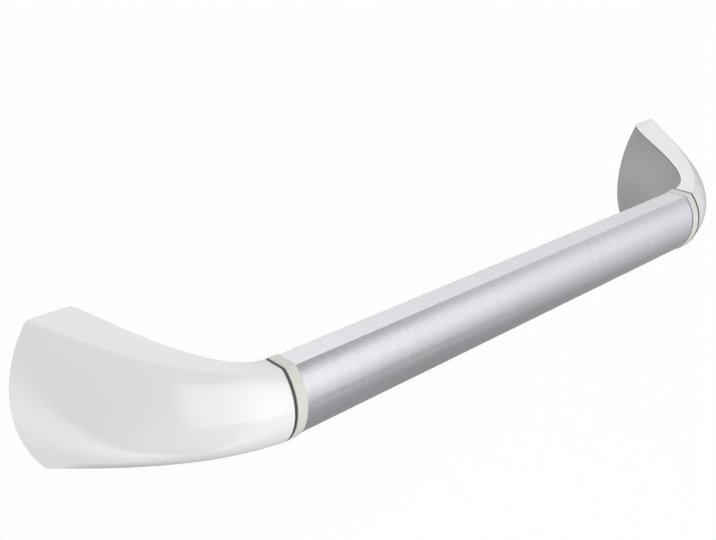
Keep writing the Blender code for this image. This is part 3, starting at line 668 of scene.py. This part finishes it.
def boss(bracket, z):
    """Boss for a plate screw, from its root in the bracket's front wall to its drilled free end."""
    tree = BVHTree.FromPolygons([v.co for v in bracket.vertices], [p.vertices for p in bracket.polygons])
    profile = [
        (0.0, 0.0),
        (0.0, BOSS_RADIUS),
        (BOSS_END - BOSS_EDGE, BOSS_RADIUS),
        (BOSS_END, BOSS_RADIUS - BOSS_EDGE),
        (BOSS_END, SCREW_HOLE),
        (BOSS_END - BOSS_HOLE_DEPTH, SCREW_HOLE),
        (BOSS_END - BOSS_HOLE_DEPTH, 0.0),
    ]
    mesh = turned(profile, -PLATE_SCREW_HEIGHT, z)
    for vert in mesh.vertices:
        if vert.co.x == 0.0:
            wall = tree.ray_cast(vert.co, Vector((-1.0, 0.0, 0.0)))[0]
            vert.co.x = wall.x - BOSS_ROOT
    return mesh


def cover_outline(window):
    """Closed (y, z) ring of the cover: round its nose, then along the wall."""
    half = window.half()
    side = two_sided(half)
    steps = 2 * (NOSE_CORNER_STEPS + NOSE_STEPS)
    wall = straight(side[-1:], side[:1], steps)[1:-1]
    return np.concatenate([side, wall.reshape(-1, 2)])


def cover_patch(window):
    """Grid of (y, z) places inside the cover's outline."""
    half = window.half()
    nose = two_sided(half[NOSE_PART])
    top = half[: SWEEP_STEPS + 1]
    bottom = top * np.array((1.0, -1.0))
    wall = straight(top[0], bottom[0], len(nose) - 1)
    return filled(wall, nose, top, bottom)


def cover_mesh(*looks):
    """Screw cover: a curved plate let into the bracket's rear face, with rounded edges."""
    shell = Shell()
    under = RearFace(COVER_THICKNESS)
    nose_radius = NOSE_RADIUS - SEAT_GAP + NOSE_GAP
    face = Window(SEAM_INSET + LIP, nose_radius + LIP, SEAT_GAP + LIP)
    edge = Window(SEAM_INSET, nose_radius, SEAT_GAP)
    shell.grid([FACE.lift(row) for row in cover_patch(face)])
    shell.grid([under.lift(row) for row in cover_patch(edge)])
    outline = cover_outline(edge)
    top = FACE.lift(outline)
    wall = top - np.array((LIP, 0.0, 0.0))
    rows = rounded_lip(FACE.lift(cover_outline(face)), top, wall) + [under.lift(outline)]
    # The cover's rounded edge and side wall take the painted gap shade, dark colour for the shade in the
    # gap round it
    shell.grid(rows, closed=True, look=GAP_SHADE)
    return combined(shell.mesh("screw_cover", *looks), [tongue(1.0), tongue(-1.0)], "UNION")


def tongue_row(section, side):
    """Corners of a tongue in a section plane, from its outer root round its free end to the inner."""
    outer = SHELL_WALL + SEAT_GAP
    inner = outer + TONGUE_THICKNESS
    outer_edge = section.rear_face(section.top_face(0.0, outer))
    inner_edge = section.rear_face(section.top_face(0.0, inner))
    deep = inner_edge + TONGUE_DEPTH
    corners = (
        (outer_edge + COVER_THICKNESS / 2, outer),
        (deep - TONGUE_EDGE, outer),
        (deep, outer + TONGUE_EDGE),
        (deep, inner - TONGUE_EDGE),
        (deep - TONGUE_EDGE, inner),
        (inner_edge + COVER_THICKNESS / 2, inner),
    )
    return section.place(np.array([(u, side * section.top_face(u, inset)) for u, inset in corners]))


def tongue(side):
    """Tongue that stands in from the cover along the bracket's upper or lower wall."""
    line, turns = INNER_CREASE
    rows = []
    for depth in np.linspace(TONGUE_START, TONGUE_END, TONGUE_STEPS + 1):
        section = Section(turns[np.argmax(-line[:, 1] > depth)])
        rows.append(tongue_row(section, side))
    shell = Shell()
    shell.grid(rows, closed=True)
    shell.face(rows[0])
    shell.face(rows[-1])
    return shell.mesh("tongue")


def ring_mesh(*looks):
    """Seal ring: a groove against the bracket, then a rounded band that stands proud of the rail."""
    shell = Shell()
    groove_end = RING_START + RING_GROOVE_WIDTH
    shoulder = RING_ROUND - RING_PROUD
    rows = [(RING_START, RAIL_WALL), (RING_START, RING_GROOVE_DEPTH), (groove_end, RING_GROOVE_DEPTH)]
    turns = np.linspace(0.0, math.pi / 2, RING_ROUND_STEPS + 1)
    rounding = [
        (RING_ROUND * (1 - math.cos(turn)), shoulder - RING_ROUND * math.sin(turn)) for turn in turns
    ]
    rows += [(groove_end + x, inset) for x, inset in rounding]
    shaded_rows = len(rows)
    rows += [(RING_END - x, inset) for x, inset in reversed(rounding)]
    rows += [(RING_END, RAIL_WALL), rows[0]]
    loops = [rail_loop(x, inset, mouth_corner(inset)) for x, inset in rows]
    # The groove and the rounding beside it take the painted gap shade, dark colour for the shade in the
    # groove
    shell.grid(loops[:shaded_rows], closed=True, look=GAP_SHADE)
    shell.grid(loops[shaded_rows - 1 :], closed=True)
    return shell.mesh("seal_ring", *looks)


def mouth_corner(inset):
    """Corner radius of the mouth's and the ring's section at an inset."""
    return max(MOUTH_CORNER_RADIUS - RING_PROUD - inset, RAIL_CORNER / 2)


def tube_mesh(*looks):
    """Hollow rail with a hole for a set screw behind each end."""
    shell = Shell()
    end = FIXING_SPACING - RAIL_START
    near_holes = (RAIL_START + SET_SCREW_SHIFT - HOLE_MARGIN, RAIL_START + SET_SCREW_SHIFT + HOLE_MARGIN)
    stops = (RAIL_START, *near_holes, *(FIXING_SPACING - x for x in reversed(near_holes)), end)
    rows = [rail_loop(x, 0.0) for x in stops]
    rows += [rail_loop(x, RAIL_WALL, RAIL_CORNER / 2) for x in reversed(stops)]
    shell.grid(rows + rows[:1], closed=True)
    axis = (0.0, -RAIL_AXIS_DEPTH, 0.0)
    drill = rod(0.0, RAIL_AXIS_DEPTH, SET_HOLE, 0.0, 0.0)
    drill.transform(Matrix.Translation(axis) @ Matrix.Rotation(math.pi / 2, 4, "Z"))
    drills = []
    for x in (RAIL_START + SET_SCREW_SHIFT, FIXING_SPACING - RAIL_START - SET_SCREW_SHIFT):
        placed = drill.copy()
        placed.transform(Matrix.Translation((x, 0.0, 0.0)))
        drills.append(placed)
    return combined(shell.mesh("rail_tube", *looks), drills, "DIFFERENCE")


def half_turn(mesh):
    """Copy of a left end's mesh turned half a turn, as the right end's piece."""
    other_end = mesh.copy()
    half = Matrix.Rotation(math.pi, 4, "Y")
    other_end.transform(Matrix.Translation((FIXING_SPACING, 0.0, 0.0)) @ half)
    return other_end


def piece(name, mesh, body, slot, *nodes):
    """Object for one piece, smooth up to its edges, that rides on a body and stands for nodes."""
    mesh.shade_smooth()
    mesh.set_sharp_from_angle(angle=SMOOTH_ANGLE)
    made = bpy.data.objects.new(name, mesh)
    bpy.context.scene.collection.objects.link(made)
    weigh = made.modifiers.new("weighted_normals", "WEIGHTED_NORMAL")
    weigh.keep_sharp = True
    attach(made, body)
    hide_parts(*nodes)


class Nodes:
    """A node tree that nodes and links are added to."""

    def __init__(self, tree):
        self.tree = tree

    def node(self, kind, **values):
        """New node with the given properties."""
        made = self.tree.nodes.new(kind)
        for name, value in values.items():
            setattr(made, name, value)
        return made

    def link(self, start, end):
        """Joins an output to an input."""
        self.tree.links.new(start, end)

    def math(self, operation, *values):
        """Result of a calculation on outputs and numbers."""
        made = self.node("ShaderNodeMath", operation=operation)
        for value, socket in zip(values, made.inputs):
            if isinstance(value, float):
                socket.default_value = value
            else:
                self.link(value, socket)
        return made.outputs["Value"]


class Look(Nodes):
    """A node material and the few links that most of its surfaces need."""

    def __init__(self, name, colour, metallic, roughness):
        self.material = bpy.data.materials.new(name)
        self.material.use_nodes = True
        super().__init__(self.material.node_tree)
        self.shader = self.tree.nodes["Principled BSDF"]
        self.shader.inputs["Base Color"].default_value = (*colour, 1.0)
        self.shader.inputs["Metallic"].default_value = metallic
        self.shader.inputs["Roughness"].default_value = roughness
        self.colour = colour

    def noise(self, scale, detail=3.0, stretch=(1.0, 1.0, 1.0)):
        """Noise over object space, drawn out along the axes whose stretch is below 1."""
        place = self.node("ShaderNodeTexCoord")
        mapping = self.node("ShaderNodeMapping")
        mapping.inputs["Scale"].default_value = stretch
        noise = self.node("ShaderNodeTexNoise")
        noise.inputs["Scale"].default_value = scale
        noise.inputs["Detail"].default_value = detail
        self.link(place.outputs["Object"], mapping.inputs["Vector"])
        self.link(mapping.outputs["Vector"], noise.inputs["Vector"])
        return noise.outputs["Fac"]

    def vary_roughness(self, value, low, high):
        """Roughness that goes from low to high as the value goes from 0 to 1."""
        spread = self.node("ShaderNodeMapRange")
        spread.inputs["To Min"].default_value = low
        spread.inputs["To Max"].default_value = high
        self.link(value, spread.inputs["Value"])
        self.link(spread.outputs["Result"], self.shader.inputs["Roughness"])

    def vary_colour(self, value, darker):
        """Base colour that falls to the share darker of itself where the value is low."""
        mix = self.node("ShaderNodeMix", data_type="RGBA")
        mix.inputs["A"].default_value = (*(c * darker for c in self.colour), 1.0)
        mix.inputs["B"].default_value = (*self.colour, 1.0)
        self.link(value, mix.inputs["Factor"])
        self.link(mix.outputs["Result"], self.shader.inputs["Base Color"])

    def bump(self, value, height):
        """Relief of the given height in metres."""
        bump = self.node("ShaderNodeBump")
        bump.inputs["Distance"].default_value = height
        self.link(value, bump.inputs["Height"])
        self.link(bump.outputs["Normal"], self.shader.inputs["Normal"])


def white_gloss():
    """High-gloss white moulded plastic with the faint waviness of its mould."""
    look = Look("white_gloss_plastic", colour=(0.89, 0.89, 0.89), metallic=0.0, roughness=0.1)
    look.shader.inputs["IOR"].default_value = 1.55
    look.vary_roughness(look.noise(scale=60.0), 0.05, 0.1)
    look.bump(look.noise(scale=220.0, detail=1.0), height=0.004 * MM)
    return look.material


def brushed_aluminium():
    """Anodised aluminium brushed in fine rings round the section."""
    look = Look("brushed_aluminium", colour=(0.83, 0.817, 0.863), metallic=1.0, roughness=0.26)
    look.shader.inputs["Anisotropic"].default_value = 0.85
    look.shader.inputs["Anisotropic Rotation"].default_value = 0.25
    around = look.node("ShaderNodeTangent", direction_type="RADIAL", axis="X")
    look.link(around.outputs["Tangent"], look.shader.inputs["Tangent"])
    rings = look.noise(scale=900.0, detail=4.0, stretch=(1.0, 0.02, 0.02))
    bands = look.noise(scale=260.0, detail=1.0, stretch=(1.0, 0.1, 0.1))
    streaks = look.math("MULTIPLY_ADD", rings, 0.5, look.math("MULTIPLY", bands, 0.7))
    look.vary_colour(streaks, darker=0.91)
    look.vary_roughness(rings, 0.25, 0.29)
    look.bump(rings, height=0.0015 * MM)
    return look.material


def ivory_elastomer():
    """Satin ivory elastomer."""
    look = Look("ivory_elastomer", colour=(0.71, 0.725, 0.665), metallic=0.0, roughness=0.45)
    look.vary_roughness(look.noise(scale=400.0), 0.38, 0.52)
    look.bump(look.noise(scale=2500.0), height=0.008 * MM)
    return look.material


def painted_gap_shade():
    """Painted shade: dark colour for the faces in the groove between bracket and ring and in the gap
    round the cover, where shade falls.
    """
    look = Look("painted_gap_shade", colour=(0.28, 0.28, 0.27), metallic=0.0, roughness=0.6)
    look.vary_roughness(look.noise(scale=400.0), 0.5, 0.7)
    return look.material


def grey_plastic():
    """Satin grey plastic with the fine grain of a textured mould."""
    look = Look("grey_plastic", colour=(0.288, 0.288, 0.293), metallic=0.0, roughness=0.5)
    grain = look.noise(scale=3000.0, detail=2.0)
    look.vary_colour(grain, darker=0.93)
    look.vary_roughness(look.noise(scale=250.0), 0.44, 0.56)
    look.bump(grain, height=0.01 * MM)
    return look.material


def plain_metal(name, colour, roughness, grain_scale, grain_height):
    """Metal with a fine grain."""
    look = Look(name, colour, 1.0, roughness)
    grain = look.noise(grain_scale)
    look.vary_colour(grain, darker=0.85)
    look.vary_roughness(grain, roughness * 0.8, roughness * 1.2)
    look.bump(grain, grain_height)
    return look.material


def dress_nodes(look, *names):
    """Gives carried-over nodes a material."""
    for name in names:
        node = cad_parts[name]
        node.data.materials.clear()
        node.data.materials.append(look)


def add_camera():
    """Camera at the photograph's viewpoint."""
    camera = bpy.data.objects.new("camera", bpy.data.cameras.new("camera"))
    camera.data.lens = CAMERA_LENS
    camera.data.sensor_width = SENSOR_WIDTH
    turn = Matrix.Rotation(-CAMERA_YAW, 4, "Z") @ Matrix.Rotation(math.pi / 2 - CAMERA_PITCH, 4, "X")
    roll = Matrix.Rotation(CAMERA_ROLL, 4, "Z")
    camera.matrix_world = Matrix.Translation(CAMERA_PLACE) @ turn @ roll
    bpy.context.scene.collection.objects.link(camera)
    bpy.context.scene.camera = camera


def add_floor():
    """Pale floor far below the rail. It is white to the camera and still shows the rail's shadow."""
    shell = Shell()
    half = FLOOR_HALF_WIDTH
    middle = FIXING_SPACING / 2
    shell.face(
        [(middle + x * half, y * half, FLOOR_HEIGHT) for x, y in ((-1, -1), (1, -1), (1, 1), (-1, 1))]
    )
    mesh = shell.mesh("floor")
    look = Look("white_floor", colour=(0.85, 0.85, 0.85), metallic=0.0, roughness=0.9)
    look.shader.inputs["Specular IOR Level"].default_value = 0.0
    look.shader.inputs["Emission Color"].default_value = (1.0, 1.0, 1.0, 1.0)
    path = look.node("ShaderNodeLightPath")
    seen = look.math("MAXIMUM", path.outputs["Is Camera Ray"], path.outputs["Is Transmission Ray"])
    look.link(look.math("MULTIPLY", seen, FLOOR_GLOW), look.shader.inputs["Emission Strength"])
    mesh.materials.append(look.material)
    floor = bpy.data.objects.new("floor", mesh)
    floor.visible_glossy = False
    floor.visible_diffuse = False
    bpy.context.scene.collection.objects.link(floor)


def soft_band(nodes, value, half_width, softness):
    """1 where the value is within half_width of 0 and 0 outside it, with a soft edge."""
    edge = nodes.node("ShaderNodeMapRange", interpolation_type="SMOOTHSTEP")
    nodes.link(nodes.math("ABSOLUTE", value), edge.inputs["Value"])
    edge.inputs["From Min"].default_value = math.radians(half_width + softness)
    edge.inputs["From Max"].default_value = math.radians(half_width - softness)
    return edge.outputs["Result"]


def studio_light(nodes):
    """Strength of the ground, the surroundings and the panels in each direction."""
    place = nodes.node("ShaderNodeSeparateXYZ")
    nodes.link(nodes.node("ShaderNodeTexCoord").outputs["Generated"], place.inputs["Vector"])
    azimuth = nodes.math("ARCTAN2", place.outputs["Y"], place.outputs["X"])
    elevation = nodes.math("ARCSINE", place.outputs["Z"])
    below = nodes.math("SUBTRACT", elevation, math.radians(HORIZON - GROUND_HALF_HEIGHT))
    ground = soft_band(nodes, below, GROUND_HALF_HEIGHT, HORIZON_SOFTNESS)
    total = nodes.math("MULTIPLY_ADD", ground, GROUND_LEVEL - SURROUNDINGS, SURROUNDINGS)
    for across, up, half_width, half_height, softness, strength in STUDIO_PANELS:
        turn = nodes.math("SUBTRACT", azimuth, math.radians(across))
        turn = nodes.math("WRAP", turn, math.pi, -math.pi)
        rise = nodes.math("SUBTRACT", elevation, math.radians(up))
        width = soft_band(nodes, turn, half_width, softness)
        height = soft_band(nodes, rise, half_height, softness)
        total = nodes.math("MULTIPLY_ADD", nodes.math("MULTIPLY", width, height), strength, total)
    return total


def add_world():
    """Studio surroundings: bright and dark soft-edged panels round the rail; white to the camera."""
    world = bpy.data.worlds.new("studio")
    world.use_nodes = True
    nodes = Nodes(world.node_tree)
    rays = nodes.node("ShaderNodeLightPath").outputs
    darkest = nodes.math("MULTIPLY_ADD", rays["Is Glossy Ray"], DARKEST_MIRRORED - DARKEST, DARKEST)
    mix = nodes.node("ShaderNodeMix")
    white = nodes.math("MAXIMUM", rays["Is Camera Ray"], rays["Is Transmission Ray"])
    nodes.link(white, mix.inputs["Factor"])
    nodes.link(nodes.math("MAXIMUM", studio_light(nodes), darkest), mix.inputs["A"])
    mix.inputs["B"].default_value = 1.0
    background = world.node_tree.nodes["Background"]
    nodes.link(mix.outputs["Result"], background.inputs["Strength"])
    background.inputs["Color"].default_value = (1.0, 1.0, 1.0, 1.0)
    bpy.context.scene.world = world


def build_pieces():
    """All pieces that stand for nodes, at both ends."""
    # Painted gap shade: dark colour for the faces in the gaps, where shade falls
    gap_shade = painted_gap_shade()
    parts = {
        "end_bracket": (bracket_mesh(white_gloss(), gap_shade), "bracket"),
        "screw_cover": (cover_mesh(grey_plastic(), gap_shade), "cover"),
        "seal_ring": (ring_mesh(ivory_elastomer(), gap_shade), "ring"),
    }
    for part, (mesh, slot) in parts.items():
        for side, placed in (("left", mesh), ("right", half_turn(mesh))):
            body = f"cover_{side}" if part == "screw_cover" else "rail"
            piece(f"{part}_{side}_fine", placed, body, slot, f"{part}_{side}")
    piece("rail_tube_fine", tube_mesh(brushed_aluminium()), "rail", "rail", "rail_tube")


def dress_inner_nodes():
    """Materials of the nodes inside the brackets."""
    steel = plain_metal("stainless_steel", (0.6, 0.6, 0.6), 0.3, 1500.0, 0.005 * MM)
    plate = plain_metal("plate_steel", (0.62, 0.62, 0.63), 0.4, 900.0, 0.008 * MM)
    cast = plain_metal("cast_alloy", (0.6, 0.6, 0.62), 0.5, 700.0, 0.02 * MM)
    for side in ("left", "right"):
        dress_nodes(plate, f"wall_plate_{side}")
        dress_nodes(cast, f"rail_connector_{side}")
        dress_nodes(steel, f"rail_set_screw_{side}")
        for level in ("upper", "lower"):
            dress_nodes(steel, f"plate_screw_{level}_{side}", f"connector_screw_{level}_{side}")


bpy.context.scene.view_settings.view_transform = "Standard"
add_camera()
add_floor()
add_world()
build_pieces()
dress_inner_nodes()
